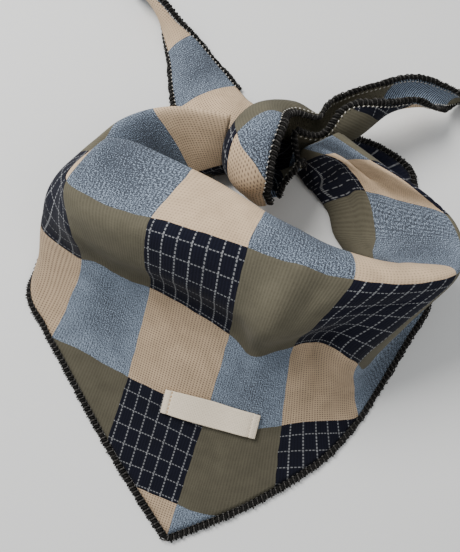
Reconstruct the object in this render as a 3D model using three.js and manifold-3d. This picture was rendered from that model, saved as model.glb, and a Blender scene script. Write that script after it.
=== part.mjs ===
// A small three-cornered patchwork neck scarf, tied in a loop and laid on a table.
// Millimetres, +Z up, the bib's point towards -Y, the knot towards +Y.
import * as THREE from "three";
import { mergeVertices } from "three/addons/utils/BufferGeometryUtils.js";
import Module from "manifold-3d";

// Driving sizes
const HALF_WIDTH = 110; // from the loop's middle out to its widest side
const BIB_REACH = 135; // from the loop's middle to the bib's point
const CREST_HEIGHT = 72; // highest fold over the table, middle of the cloth
const KNOT_WIDTH = 100; // cloth gathered round the knot, measured across the curl
const CLOTH = 2; // thickness of the knitted cloth
const HEM_WIDTH = 4; // overlocked seam beyond the cloth's edge
const HEM_THICKNESS = 3;
const LABEL_LENGTH = 49;
const LABEL_WIDTH = 12.5;
const LABEL_THICKNESS = 0.8;
const LABEL_LIFT = 0.6; // air between the cloth and the sewn-on label
const GAP = 0.5; // air between a hem and its cloth
const LABEL_PLACE = [-0.09, -0.55]; // the label's middle, in shares of half width and reach
const LABEL_TURN = -15; // degrees, seen from above

// Mesh steps
const BAND_STEPS = 3; // mesh columns from one fold section to the next
const SECTION_STEPS = 3; // mesh rows from one guide point to the next
const TIE_STEPS = 2; // mesh rings from one tie section to the next
const TIE_SIDES = 14; // strips round a curled tie end

// The last of the nine guide points on a fold section, at the hem
const HEM_POINT = 8;

// The neck band and bib, one section for each place along the scarf. "at" counts patches
// from the middle; x, y and z are shares of HALF_WIDTH, BIB_REACH and CREST_HEIGHT.
// The cloth comes from its edge on the table, over the brow and the crest, down to the
// crease and out to the hem. "puff" is how far it bellies out between crest and crease.
const SECTIONS = [
  // at, edge x y, foot x y, brow x y z,
  //   crest x y z, puff, crease x y z, hem x y z
  fold(-4.7, [0.02, 0.57], [0.04, 0.48], [-0.04, 0.45, 0.22],
    [0.0, 0.57, 0.49], 0, [0.0, 0.61, 0.33], [-0.01, 0.61, 0.28]),
  fold(-4.2, [-0.2, 0.56], [-0.09, 0.46], [-0.2, 0.43, 0.2],
    [-0.27, 0.58, 0.55], 0.01, [-0.28, 0.63, 0.36], [-0.3, 0.65, 0.22]),
  fold(-3.6, [-0.4, 0.55], [-0.24, 0.44], [-0.31, 0.43, 0.31],
    [-0.48, 0.52, 0.59], 0.02, [-0.55, 0.57, 0.33], [-0.6, 0.59, 0.12]),
  fold(-3.0, [-0.58, 0.46], [-0.4, 0.43], [-0.4, 0.41, 0.47],
    [-0.61, 0.39, 0.62], 0.05, [-0.74, 0.41, 0.36], [-0.81, 0.36, 0.1]),
  fold(-2.5, [-0.69, 0.34], [-0.45, 0.41], [-0.51, 0.41, 0.67],
    [-0.64, 0.33, 0.75], 0.11, [-0.91, 0.18, 0.32], [-0.99, -0.03, 0.04]),
  fold(-2.1, [-0.67, 0.21], [-0.47, 0.4], [-0.56, 0.38, 0.78],
    [-0.69, 0.24, 0.85], 0.08, [-0.73, 0.04, 0.35], [-0.9, -0.21, 0]),
  fold(-1.8, [-0.6, 0.13], [-0.44, 0.39], [-0.53, 0.39, 0.82],
    [-0.64, 0.18, 0.9], 0.07, [-0.62, 0.0, 0.39], [-0.81, -0.33, 0]),
  fold(-1.4, [-0.47, 0.06], [-0.36, 0.36], [-0.4, 0.36, 0.83],
    [-0.47, 0.1, 0.96], 0.07, [-0.48, -0.06, 0.38], [-0.69, -0.49, 0]),
  fold(-0.8, [-0.27, -0.04], [-0.15, 0.21], [-0.07, 0.21, 0.88],
    [-0.24, 0.04, 0.99], 0.08, [-0.3, -0.12, 0.38], [-0.51, -0.72, 0]),
  fold(0, [0.04, -0.13], [0.11, 0.09], [0.14, 0.09, 0.89],
    [0.07, -0.05, 1.0], 0.08, [0.0, -0.27, 0.36], [-0.28, -0.98, 0]),
  fold(0.4, [0.15, -0.18], [0.22, 0.04], [0.27, 0.03, 0.89],
    [0.22, -0.1, 1.0], 0.12, [0.1, -0.36, 0.36], [-0.11, -0.93, 0]),
  fold(0.8, [0.29, -0.22], [0.35, -0.01], [0.41, -0.03, 0.88],
    [0.39, -0.14, 0.99], 0.11, [0.22, -0.34, 0.42], [0.1, -0.86, 0]),
  fold(1.4, [0.53, -0.25], [0.56, -0.06], [0.62, -0.07, 0.81],
    [0.65, -0.16, 0.93], 0.04, [0.38, -0.31, 0.5], [0.4, -0.72, 0]),
  fold(1.9, [0.74, -0.16], [0.64, 0.03], [0.8, -0.06, 0.67],
    [0.89, -0.12, 0.81], 0.03, [0.53, -0.37, 0.47], [0.57, -0.59, 0]),
  fold(2.3, [0.78, -0.03], [0.6, 0.1], [0.76, 0.01, 0.42],
    [0.97, -0.06, 0.71], 0.03, [0.64, -0.37, 0.17], [0.69, -0.46, 0]),
  fold(2.7, [0.84, 0.14], [0.55, 0.18], [0.71, 0.13, 0.26],
    [1.0, 0.03, 0.64], 0.03, [0.87, -0.13, 0.2], [0.85, -0.27, 0]),
  fold(3.0, [0.91, 0.29], [0.53, 0.28], [0.68, 0.28, 0.32],
    [0.96, 0.15, 0.6], 0.04, [0.99, -0.02, 0.26], [0.98, -0.09, 0.08]),
  fold(3.5, [0.95, 0.46], [0.47, 0.37], [0.6, 0.37, 0.39],
    [0.82, 0.26, 0.6], 0.03, [0.96, 0.19, 0.29], [0.98, 0.16, 0.21]),
  fold(4.0, [0.73, 0.6], [0.42, 0.41], [0.52, 0.42, 0.43],
    [0.65, 0.37, 0.57], 0.03, [0.8, 0.34, 0.36], [0.82, 0.33, 0.28]),
  fold(4.7, [0.49, 0.6], [0.34, 0.51], [0.38, 0.5, 0.32],
    [0.49, 0.49, 0.53], 0.01, [0.56, 0.51, 0.42], [0.57, 0.51, 0.33]),
];
const POINT_SECTION = SECTIONS.findIndex((section) => section.at === 0);

// Smaller folds pushed into the band and bib: the place, how far each reaches along the
// scarf and round its section, and the push in shares of the same three sizes.
const FOLDS = [
  // at, turn, reach along, reach round, push x y z
  dent(-1.35, 3.5, 0.75, 0.6, [0, 0, -0.11]),
  dent(-2.35, 5.2, 0.22, 0.8, [0.04, -0.02, -0.05]),
  dent(3.7, 3.45, 0.7, 0.22, [0, 0, -0.08]),
  dent(1.5, 6.6, 0.3, 0.6, [0, 0, 0.06]),
  dent(0.2, 6.7, 0.35, 0.5, [0, 0, -0.05]),
];

// A tie end is a curled strip along a path. "width" is the cloth across the curl, as a
// share of KNOT_WIDTH, "curl" the angle it bends through, and "back" the way its middle
// faces, counted from the right of the path up over it, both in degrees.
const OVER_KNOT = [
  // x, y, z, width, curl, back
  ring([0.18, 0.28, 0.24], 0.22, 230, 235),
  ring([0.155, 0.325, 0.3], 0.5, 255, 238),
  ring([0.14, 0.375, 0.36], 0.85, 272, 224),
  ring([0.14, 0.45, 0.38], 1.0, 260, 210),
  ring([0.19, 0.545, 0.38], 0.83, 250, 208),
  ring([0.3, 0.6, 0.37], 0.5, 285, 238),
  ring([0.44, 0.57, 0.33], 0.32, 245, 262),
  ring([0.58, 0.605, 0.35], 0.54, 270, 308),
  ring([0.77, 0.69, 0.35], 0.28, 200, 285),
  ring([0.93, 0.74, 0.31], 0.24, 175, 272),
  ring([1.1, 0.765, 0.23], 0.13, 130, 225),
  ring([1.24, 0.785, 0.14], 0.1, 90, 160),
  ring([1.38, 0.8, 0.05], 0.02, 20, 100),
];
const UNDER_KNOT = [
  ring([0.48, 0.53, 0.17], 0.2, 110, 90),
  ring([0.33, 0.6, 0.1], 0.26, 60, 90),
  ring([0.14, 0.64, 0.08], 0.34, 60, 90),
  ring([-0.02, 0.7, 0.1], 0.4, 70, 90),
  ring([-0.11, 0.79, 0.08], 0.4, 58, 90),
  ring([-0.17, 0.9, 0.06], 0.34, 54, 90),
  ring([-0.24, 1.03, 0.08], 0.23, 75, 95),
  ring([-0.34, 1.15, 0.14], 0.12, 80, 135),
  ring([-0.42, 1.26, 0.18], 0.15, 110, 195),
  ring([-0.49, 1.36, 0.12], 0.12, 90, 240),
  ring([-0.56, 1.45, 0.05], 0.02, 20, 265),
];

// Inside the knot the cloth is squeezed into one mass, which holds the band's ends and
// both tie ends together: its middle, and its half lengths as shares of KNOT_WIDTH.
const KNOT_CORE = { centre: [0.2, 0.54, 0.26], half: [0.24, 0.15, 0.12] };

const FREE_RING = 4; // first ring of the under-knot end that is clear of the knot

function fold(at, edge, foot, brow, crest, puff, crease, hem) {
  return { at, edge, foot, brow, crest, puff, crease, hem };
}

function dent(at, turn, along, round, push) {
  return { at, turn, along, round, push };
}

function ring(centre, width, curl, back) {
  return { centre, width, curl, back };
}

// A place in millimetres from its shares of the three overall sizes.
function place([x, y, z = 0]) {
  return new THREE.Vector3(x * HALF_WIDTH, y * BIB_REACH, z * CREST_HEIGHT);
}

// A smooth line through the points, read at a place counted in points. A corner splits it.
function smoothLine(points, corner) {
  const parts = corner ? [points.slice(0, corner + 1), points.slice(corner)] : [points];
  const curves = parts.map((part) => new THREE.CatmullRomCurve3(part, false, "catmullrom"));
  return (count) => {
    const second = corner !== undefined && count > corner;
    const start = second ? corner : 0;
    const curve = curves[second ? 1 : 0];
    return curve.getPoint((count - start) / (curve.points.length - 1));
  };
}

// The nine guide points of one section, from the edge on the table round to the hem.
function guidePoints(section) {
  const edge = place(section.edge).setZ(CLOTH / 2);
  const foot = place(section.foot).setZ(CLOTH / 2);
  const brow = place(section.brow);
  const crest = place(section.crest);
  const crease = place(section.crease);
  const hem = place(section.hem);
  hem.z = Math.max(hem.z, HEM_THICKNESS / 2);
  const riser = foot.clone().lerp(brow, 0.55);
  const puff = section.puff * CREST_HEIGHT;
  const outward = crease.clone().sub(crest).setZ(0).normalize();
  const belly = crest.clone().lerp(crease, 0.5).addScaledVector(outward, puff);
  belly.z += 0.8 * puff;
  const skirt = crease.clone().lerp(hem, 0.5);
  skirt.z = hem.z + 0.22 * (crease.z - hem.z);
  return [edge, foot, riser, brow, crest, belly, crease, skirt, hem];
}

// The middle of the band's cloth at a section count and a place round the section.
function bandSurface() {
  const guides = SECTIONS.map(guidePoints);
  const lines = Array.from({ length: HEM_POINT + 1 }, (_, turn) =>
    smoothLine(guides.map((points) => points[turn]), turn === HEM_POINT ? POINT_SECTION : undefined),
  );
  const columns = smoothLine(SECTIONS.map((section) => new THREE.Vector3(section.at, 0, 0)));
  return (count, turn) => {
    const point = smoothLine(lines.map((line) => line(count)))(turn);
    const at = columns(count).x;
    for (const dent of FOLDS) {
      const along = (at - dent.at) / dent.along;
      const round = (turn - dent.turn) / dent.round;
      point.addScaledVector(place(dent.push), Math.exp(-along * along - round * round));
    }
    return point.setZ(Math.max(point.z, CLOTH / 2));
  };
}

// The middle of a tie end's cloth at a ring count and a share of its width.
function tieSurface(rings) {
  const path = smoothLine(rings.map((one) => place(one.centre)));
  const shape = smoothLine(rings.map((one) => new THREE.Vector3(one.width, one.curl, one.back)));
  return (count, share) => {
    const step = 0.05;
    const ahead = path(Math.min(count + step, rings.length - 1));
    const forward = ahead.sub(path(Math.max(count - step, 0))).normalize();
    const right = forward.clone().cross(new THREE.Vector3(0, 0, 1)).normalize();
    const up = right.clone().cross(forward);
    const { x: width, y: curl, z: back } = shape(count);
    const bend = THREE.MathUtils.degToRad(curl);
    const middle = THREE.MathUtils.degToRad(back);
    const radius = (width * KNOT_WIDTH) / bend;
    const inset = radius - (radius * (1 - Math.cos(bend / 2))) / 2;
    const angle = middle + bend * (share - 0.5);
    const point = path(count);
    point.addScaledVector(right, radius * Math.cos(angle) - inset * Math.cos(middle));
    point.addScaledVector(up, radius * Math.sin(angle) - inset * Math.sin(middle));
    return point.setZ(Math.max(point.z, CLOTH / 2));
  };
}

// Even steps from a first to a last count.
function steps(first, last, each) {
  const total = Math.round((last - first) * each);
  return Array.from({ length: total + 1 }, (_, i) => first + (i / total) * (last - first));
}

// Rows of surface points, one row for each count along, one point for each count across.
function pointGrid(surface, along, across) {
  return along.map((count) => across.map((turn) => surface(count, turn)));
}

// Unit normals of a grid of points, from its neighbours.
function gridNormals(grid) {
  const last = grid.length - 1;
  return grid.map((row, i) =>
    row.map((_, j) => {
      const end = row.length - 1;
      const along = grid[Math.min(i + 1, last)][j].clone().sub(grid[Math.max(i - 1, 0)][j]);
      const across = row[Math.min(j + 1, end)].clone().sub(row[Math.max(j - 1, 0)]);
      return along.cross(across).normalize();
    }),
  );
}

// A closed mesh from rings of points: each ring is one loop, and both ends are capped.
function closedRings(rings) {
  const size = rings[0].length;
  const positions = rings.flat().flatMap((point) => [point.x, point.y, point.z]);
  const index = [];
  for (let i = 0; i + 1 < rings.length; i++) {
    for (let j = 0; j < size; j++) {
      const a = i * size + j;
      const b = i * size + ((j + 1) % size);
      index.push(a, b, b + size, a, b + size, a + size);
    }
  }
  return { positions, index, size, count: rings.length };
}

function addQuad(index, a, b, c, d) {
  index.push(a, b, c, a, c, d);
}

// A sheet of even thickness over a grid of middle points, closed all round.
function sheetGeometry(grid, thickness) {
  const normals = gridNormals(grid);
  const columns = grid[0].length;
  const rings = grid.map((row, i) => {
    const top = row.map((point, j) => point.clone().addScaledVector(normals[i][j], thickness / 2));
    const under = row.map((point, j) => point.clone().addScaledVector(normals[i][j], -thickness / 2));
    return [...top, ...under.reverse()];
  });
  const body = closedRings(rings);
  for (const [start, flip] of [[0, false], [(body.count - 1) * body.size, true]]) {
    for (let j = 0; j + 1 < columns; j++) {
      const far = start + body.size - 1 - j;
      const corners = [start + j, far, far - 1, start + j + 1];
      addQuad(body.index, ...(flip ? corners.reverse() : corners));
    }
  }
  return geometry(body.positions, body.index);
}

// The overlocked hem: a six-sided cord, flattened, just beyond a line of edge points.
function hemGeometry(edge, inner) {
  const sides = 6;
  const rings = edge.map((point, i) => {
    const before = edge[Math.max(i - 1, 0)];
    const after = edge[Math.min(i + 1, edge.length - 1)];
    const run = after.clone().sub(before).normalize();
    const pull = point.clone().sub(inner[i]);
    const out = pull.addScaledVector(run, -pull.dot(run)).normalize();
    const up = run.clone().cross(out);
    const middle = point.clone().addScaledVector(out, GAP + HEM_WIDTH / 2);
    const sunk = (HEM_THICKNESS / 2) * Math.abs(up.z);
    middle.z = Math.max(middle.z, sunk);
    return Array.from({ length: sides }, (_, k) => {
      const angle = (k / sides) * 2 * Math.PI;
      const corner = middle.clone();
      corner.addScaledVector(out, (Math.cos(angle) * HEM_WIDTH) / 2);
      corner.addScaledVector(up, (Math.sin(angle) * HEM_THICKNESS) / 2);
      return corner.setZ(Math.max(corner.z, 0));
    });
  });
  const body = closedRings(rings);
  for (let k = 1; k + 1 < sides; k++) {
    const last = (body.count - 1) * sides;
    body.index.push(0, k + 1, k, last, last + k, last + k + 1);
  }
  return geometry(body.positions, body.index);
}

function geometry(positions, index) {
  const shape = new THREE.BufferGeometry();
  shape.setAttribute("position", new THREE.Float32BufferAttribute(positions, 3));
  shape.setIndex(index);
  return outwardFacing(shape);
}

// Turns every triangle round where the mesh was built inside out.
function outwardFacing(shape) {
  const point = shape.getAttribute("position");
  const index = shape.getIndex().array;
  const [a, b, c] = [new THREE.Vector3(), new THREE.Vector3(), new THREE.Vector3()];
  let volume = 0;
  for (let i = 0; i < index.length; i += 3) {
    [a, b, c].forEach((corner, k) => corner.fromBufferAttribute(point, index[i + k]));
    volume += a.dot(b.cross(c));
  }
  if (volume < 0) shape.setIndex(Array.from(index).reverse());
  shape.computeVertexNormals();
  return shape;
}

const wasm = await Module();
wasm.setup();

// Joins closed shapes into one solid.
function joined(shapes) {
  const solids = shapes.map((shape) => {
    const mesh = new wasm.Mesh({
      numProp: 3,
      vertProperties: new Float32Array(shape.getAttribute("position").array),
      triVerts: new Uint32Array(shape.getIndex().array),
    });
    mesh.merge();
    return new wasm.Manifold(mesh);
  });
  const mesh = wasm.Manifold.union(solids).getMesh();
  return geometry(Array.from(mesh.vertProperties), Array.from(mesh.triVerts));
}

// The squeezed cloth inside the knot.
function knotCore() {
  const shape = new THREE.SphereGeometry(KNOT_WIDTH, 12, 8);
  shape.scale(...KNOT_CORE.half).translate(...place(KNOT_CORE.centre).toArray());
  shape.deleteAttribute("normal");
  shape.deleteAttribute("uv");
  return mergeVertices(shape);
}

function fabric(color, roughness) {
  return new THREE.MeshStandardMaterial({ color, roughness, metalness: 0 });
}

function named(name, shape, material) {
  const mesh = new THREE.Mesh(shape, material);
  mesh.name = name;
  return mesh;
}

const band = bandSurface();
const overEnd = tieSurface(OVER_KNOT);
const underEnd = tieSurface(UNDER_KNOT);
const alongBand = steps(0, SECTIONS.length - 1, BAND_STEPS);
const knit = fabric("#8a8f93", 0.95);
const overlock = fabric("#2b2c31", 0.9);
const cotton = fabric("#ddd2c2", 0.85);

// The scarf's one piece of cloth: the band with its bib, and the two tied ends.
function cloth() {
  const share = steps(0, 1, TIE_SIDES);
  const neck = pointGrid(band, alongBand, steps(0, HEM_POINT, SECTION_STEPS));
  const over = pointGrid(overEnd, steps(0, OVER_KNOT.length - 1, TIE_STEPS), share);
  const under = pointGrid(underEnd, steps(0, UNDER_KNOT.length - 1, TIE_STEPS), share);
  const sheets = [neck, over, under].map((grid) => sheetGeometry(grid, CLOTH));
  return joined([...sheets, knotCore()]);
}

// A hem along one edge of a surface; "inward" is one mesh row into the cloth from it.
function hem(surface, along, edge, inward) {
  return hemGeometry(
    along.map((count) => surface(count, edge)),
    along.map((count) => surface(count, edge + inward)),
  );
}

// The cloth's count and turn under a place seen from above, closing in from a first guess.
function underneath(surface, target, count, turn) {
  const small = 0.01;
  for (let pass = 0; pass < 8; pass++) {
    const here = surface(count, turn);
    const a = surface(count + small, turn).sub(here).divideScalar(small);
    const b = surface(count, turn + small).sub(here).divideScalar(small);
    const miss = target.clone().sub(here);
    const cross = a.x * b.y - a.y * b.x;
    count += (miss.x * b.y - miss.y * b.x) / cross;
    turn += (miss.y * a.x - miss.x * a.y) / cross;
  }
  return surface(count, turn);
}

// The sewn-on label, lying over the bib's patches below the crease.
function label() {
  const upright = new THREE.Vector3(0, 0, 1);
  const angle = THREE.MathUtils.degToRad(LABEL_TURN);
  const grid = steps(-0.5, 0.5, 12).map((along) =>
    steps(-0.5, 0.5, 3).map((across) => {
      const offset = new THREE.Vector3(along * LABEL_LENGTH, across * LABEL_WIDTH, 0);
      const target = place(LABEL_PLACE).add(offset.applyAxisAngle(upright, angle));
      return underneath(band, target, POINT_SECTION, HEM_POINT - 1);
    }),
  );
  const normals = gridNormals(grid);
  const raise = (CLOTH + LABEL_THICKNESS) / 2 + LABEL_LIFT;
  const raised = grid.map((row, i) =>
    row.map((point, j) => point.clone().addScaledVector(normals[i][j], raise)),
  );
  return sheetGeometry(raised, LABEL_THICKNESS);
}

const scarf = new THREE.Group();
scarf.name = "patchwork_scarf";
const overRings = steps(0, OVER_KNOT.length - 1, TIE_STEPS);
const underRings = steps(FREE_RING, UNDER_KNOT.length - 1, TIE_STEPS);
scarf.add(named("scarf_cloth", cloth(), knit));
scarf.add(named("bib_hem", hem(band, alongBand, HEM_POINT, -1 / SECTION_STEPS), overlock));
scarf.add(named("neck_edge_hem", hem(band, alongBand, 0, 1 / SECTION_STEPS), overlock));
scarf.add(named("right_tail_upper_hem", hem(overEnd, overRings, 0, 1 / TIE_SIDES), overlock));
scarf.add(named("right_tail_lower_hem", hem(overEnd, overRings, 1, -1 / TIE_SIDES), overlock));
scarf.add(named("left_tail_right_hem", hem(underEnd, underRings, 0, 1 / TIE_SIDES), overlock));
scarf.add(named("left_tail_left_hem", hem(underEnd, underRings, 1, -1 / TIE_SIDES), overlock));
scarf.add(named("sewn_label", label(), cotton));

// The origin is under the middle of the whole scarf, on the table.
const box = new THREE.Box3().setFromObject(scarf);
const centre = box.getCenter(new THREE.Vector3());
scarf.position.set(-centre.x, -centre.y, -box.min.z);

export default scarf;
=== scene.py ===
import functools
import math

import bmesh
import bpy
import numpy as np
from bpy.props import FloatProperty, FloatVectorProperty, PointerProperty
from bpy.types import Operator, Panel, PropertyGroup
from mathutils import Matrix, Vector


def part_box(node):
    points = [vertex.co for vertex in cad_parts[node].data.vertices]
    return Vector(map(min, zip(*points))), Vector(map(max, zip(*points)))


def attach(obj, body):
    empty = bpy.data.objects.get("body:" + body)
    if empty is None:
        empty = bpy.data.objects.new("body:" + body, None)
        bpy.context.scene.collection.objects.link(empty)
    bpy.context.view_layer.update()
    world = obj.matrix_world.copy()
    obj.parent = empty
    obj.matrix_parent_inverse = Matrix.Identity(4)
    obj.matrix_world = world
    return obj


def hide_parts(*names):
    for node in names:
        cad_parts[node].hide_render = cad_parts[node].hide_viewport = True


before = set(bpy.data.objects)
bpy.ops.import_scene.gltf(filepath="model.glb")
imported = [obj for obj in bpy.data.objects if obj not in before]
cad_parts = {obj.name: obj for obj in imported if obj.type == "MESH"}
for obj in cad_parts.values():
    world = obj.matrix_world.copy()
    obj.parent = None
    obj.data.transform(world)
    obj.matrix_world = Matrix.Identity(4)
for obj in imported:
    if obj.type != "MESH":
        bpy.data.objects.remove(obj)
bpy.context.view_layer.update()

bl_info = {
    "name": "Patchwork Neck Scarf",
    "version": (1, 0, 0),
    "blender": (4, 5, 0),
    "location": "3D View > Sidebar > Scarf",
    "description": "A three-cornered patchwork knit scarf, tied in a loop and laid on a table",
    "category": "Add Mesh",
}

MM = 0.001

# The band and bib, one row for each place along the scarf, counted in patches from its
# middle. x, y and z are shares of the half width, the bib's reach and the crest height.
# at, edge x y, foot x y, brow x y z, crest x y z, puff, crease x y z, hem x y z
SECTIONS = (
    (-4.7, (0.02, 0.57), (0.04, 0.48), (-0.04, 0.45, 0.22),
     (0.0, 0.57, 0.49), 0, (0.0, 0.61, 0.33), (-0.01, 0.61, 0.28)),
    (-4.2, (-0.2, 0.56), (-0.09, 0.46), (-0.2, 0.43, 0.2),
     (-0.27, 0.58, 0.55), 0.01, (-0.28, 0.63, 0.36), (-0.3, 0.65, 0.22)),
    (-3.6, (-0.4, 0.55), (-0.24, 0.44), (-0.31, 0.43, 0.31),
     (-0.48, 0.52, 0.59), 0.02, (-0.55, 0.57, 0.33), (-0.6, 0.59, 0.12)),
    (-3.0, (-0.58, 0.46), (-0.4, 0.43), (-0.4, 0.41, 0.47),
     (-0.61, 0.39, 0.62), 0.05, (-0.74, 0.41, 0.36), (-0.81, 0.36, 0.1)),
    (-2.5, (-0.69, 0.34), (-0.45, 0.41), (-0.51, 0.41, 0.67),
     (-0.64, 0.33, 0.75), 0.11, (-0.91, 0.18, 0.32), (-0.99, -0.03, 0.04)),
    (-2.1, (-0.67, 0.21), (-0.47, 0.4), (-0.56, 0.38, 0.78),
     (-0.69, 0.24, 0.85), 0.08, (-0.73, 0.04, 0.35), (-0.9, -0.21, 0)),
    (-1.8, (-0.6, 0.13), (-0.44, 0.39), (-0.53, 0.39, 0.82),
     (-0.64, 0.18, 0.9), 0.07, (-0.62, 0.0, 0.39), (-0.81, -0.33, 0)),
    (-1.4, (-0.47, 0.06), (-0.36, 0.36), (-0.4, 0.36, 0.83),
     (-0.47, 0.1, 0.96), 0.07, (-0.48, -0.06, 0.38), (-0.69, -0.49, 0)),
    (-0.8, (-0.27, -0.04), (-0.15, 0.21), (-0.07, 0.21, 0.88),
     (-0.24, 0.04, 0.99), 0.08, (-0.3, -0.12, 0.38), (-0.51, -0.72, 0)),
    (0, (0.04, -0.13), (0.11, 0.09), (0.14, 0.09, 0.89),
     (0.07, -0.05, 1.0), 0.08, (0.0, -0.27, 0.36), (-0.28, -0.98, 0)),
    (0.4, (0.15, -0.18), (0.22, 0.04), (0.27, 0.03, 0.89),
     (0.22, -0.1, 1.0), 0.12, (0.1, -0.36, 0.36), (-0.11, -0.93, 0)),
    (0.8, (0.29, -0.22), (0.35, -0.01), (0.41, -0.03, 0.88),
     (0.39, -0.14, 0.99), 0.11, (0.22, -0.34, 0.42), (0.1, -0.86, 0)),
    (1.4, (0.53, -0.25), (0.56, -0.06), (0.62, -0.07, 0.81),
     (0.65, -0.16, 0.93), 0.04, (0.38, -0.31, 0.5), (0.4, -0.72, 0)),
    (1.9, (0.74, -0.16), (0.64, 0.03), (0.8, -0.06, 0.67),
     (0.89, -0.12, 0.81), 0.03, (0.53, -0.37, 0.47), (0.57, -0.59, 0)),
    (2.3, (0.78, -0.03), (0.6, 0.1), (0.76, 0.01, 0.42),
     (0.97, -0.06, 0.71), 0.03, (0.64, -0.37, 0.17), (0.69, -0.46, 0)),
    (2.7, (0.84, 0.14), (0.55, 0.18), (0.71, 0.13, 0.26),
     (1.0, 0.03, 0.64), 0.03, (0.87, -0.13, 0.2), (0.85, -0.27, 0)),
    (3.0, (0.91, 0.29), (0.53, 0.28), (0.68, 0.28, 0.32),
     (0.96, 0.15, 0.6), 0.04, (0.99, -0.02, 0.26), (0.98, -0.09, 0.08)),
    (3.5, (0.95, 0.46), (0.47, 0.37), (0.6, 0.37, 0.39),
     (0.82, 0.26, 0.6), 0.03, (0.96, 0.19, 0.29), (0.98, 0.16, 0.21)),
    (4.0, (0.73, 0.6), (0.42, 0.41), (0.52, 0.42, 0.43),
     (0.65, 0.37, 0.57), 0.03, (0.8, 0.34, 0.36), (0.82, 0.33, 0.28)),
    (4.7, (0.49, 0.6), (0.34, 0.51), (0.38, 0.5, 0.32),
     (0.49, 0.49, 0.53), 0.01, (0.56, 0.51, 0.42), (0.57, 0.51, 0.33)),
)

# How the patches lie on each section: how far the column leans from crest to inner edge,
# and the rows at brow, crest and crease. The crest is near row 0, the cut edge is row -2.
PATCH_PLACES = (
    # lean, brow, crest, crease
    (0.3, -1.0, -0.35, 0.0), (0.35, -0.95, -0.35, 0.1), (0.25, -0.7, -0.12, 0.3),
    (0.1, -0.45, 0, 0.6), (0, -0.35, 0, 0.95), (0, -0.4, 0, 1.0), (0, -0.5, 0, 1.0),
    (0, -0.65, 0, 1.0), (0, -0.5, 0, 1.0), (0, -0.5, 0, 1.0), (0, -0.45, 0, 1.05),
    (0, -0.4, 0, 1.05), (0, -0.3, 0, 1.0), (0, -0.3, 0, 1.0), (0, -0.7, 0, 1.0),
    (-0.05, -1.0, 0, 0.95), (-0.15, -1.0, 0, 0.8), (-0.35, -1.0, 0, 0.5),
    (-0.5, -1.0, 0, 0.3), (-0.75, -0.95, 0, 0.1),
)
LONG_EDGE_ROW = -2  # the cut edge that lies under the band
POINT_ROW = 3.33  # the bib's point
COLUMNS_PER_ROW = 1.5  # how many columns the cut edge runs out for each row

# Folds pressed into the band: place along in patches, guide line round, how far each
# reaches along and round, and its push as x y z shares.
FOLDS = (
    (-1.35, 3.5, 0.75, 0.6, (0, 0, -0.11)),
    (-2.35, 5.2, 0.22, 0.8, (0.04, -0.02, -0.05)),
    (3.7, 3.45, 0.7, 0.22, (0, 0, -0.08)),
    (1.5, 6.6, 0.3, 0.6, (0, 0, 0.06)),
    (0.2, 6.7, 0.35, 0.5, (0, 0, -0.05)),
)

# Small wrinkles of the cloth: patch column and row at both ends, width and depth in mm.
WRINKLES = (
    ((-2.3, 0.3), (-1.65, 1.15), 5, 2.4), ((-2.55, 0.45), (-1.95, 1.25), 6, -2.2),
    ((0.32, 0.95), (0.32, 1.5), 5, -1.8), ((1.3, 1.0), (1.45, 1.65), 4, -2.4),
    ((1.15, 1.1), (1.25, 1.6), 5, 1.2), ((-0.8, 1.08), (-0.3, 1.3), 5, -1.4),
    ((-0.75, 1.5), (-0.2, 1.65), 6, 1.4), ((0.54, 0.0), (0.44, 0.64), 6, 2.0),
    ((0.75, 0.15), (0.72, 0.6), 5, -1.2), ((1.0, 0.36), (1.7, 0.24), 4, -2.0),
    ((-1.6, -0.45), (-1.1, -0.1), 6, -1.0), ((-0.6, -0.4), (-0.1, -0.15), 7, -1.0),
)

# The nine guide lines that run along the band are edge, foot, riser, brow, crest, belly,
# crease, skirt and hem, counted from 0. Riser, belly and skirt aren't in the table of
# sections; these shares place them.
HEM_GUIDE = 8
RISER_SHARE = 0.55  # of the way from foot to brow
PUFF_RISE = 0.8  # how far a puffed fold rises for each part that it swings out
SKIRT_SHARE = 0.22  # of the height from hem to crease
RISER_LEAN = 0.7  # of the patch column's lean

# The two tie ends, ring by ring: centre x y z, cloth across as a share of the knot width,
# how far it curls and which way its back faces, in degrees.
OVER_KNOT = (
    ((0.18, 0.28, 0.24), 0.22, 230, 235),
    ((0.155, 0.325, 0.3), 0.5, 255, 238),
    ((0.14, 0.375, 0.36), 0.85, 272, 224),
    ((0.14, 0.45, 0.38), 1.0, 260, 210),
    ((0.19, 0.545, 0.38), 0.83, 250, 208),
    ((0.3, 0.6, 0.37), 0.5, 285, 238),
    ((0.44, 0.57, 0.33), 0.32, 245, 262),
    ((0.58, 0.605, 0.35), 0.54, 270, 308),
    ((0.77, 0.69, 0.35), 0.28, 200, 285),
    ((0.93, 0.74, 0.31), 0.24, 175, 272),
    ((1.1, 0.765, 0.23), 0.13, 130, 225),
    ((1.24, 0.785, 0.14), 0.1, 90, 160),
    ((1.38, 0.8, 0.05), 0.02, 20, 100),
)
UNDER_KNOT = (
    ((0.48, 0.53, 0.17), 0.2, 110, 90),
    ((0.33, 0.6, 0.1), 0.26, 60, 90),
    ((0.14, 0.64, 0.08), 0.34, 60, 90),
    ((-0.02, 0.7, 0.1), 0.4, 70, 90),
    ((-0.11, 0.79, 0.08), 0.4, 58, 90),
    ((-0.17, 0.9, 0.06), 0.34, 54, 90),
    ((-0.24, 1.03, 0.08), 0.23, 75, 95),
    ((-0.34, 1.15, 0.14), 0.12, 80, 135),
    ((-0.42, 1.26, 0.18), 0.15, 110, 195),
    ((-0.49, 1.36, 0.12), 0.12, 90, 240),
    ((-0.56, 1.45, 0.05), 0.02, 20, 265),
)

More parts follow.
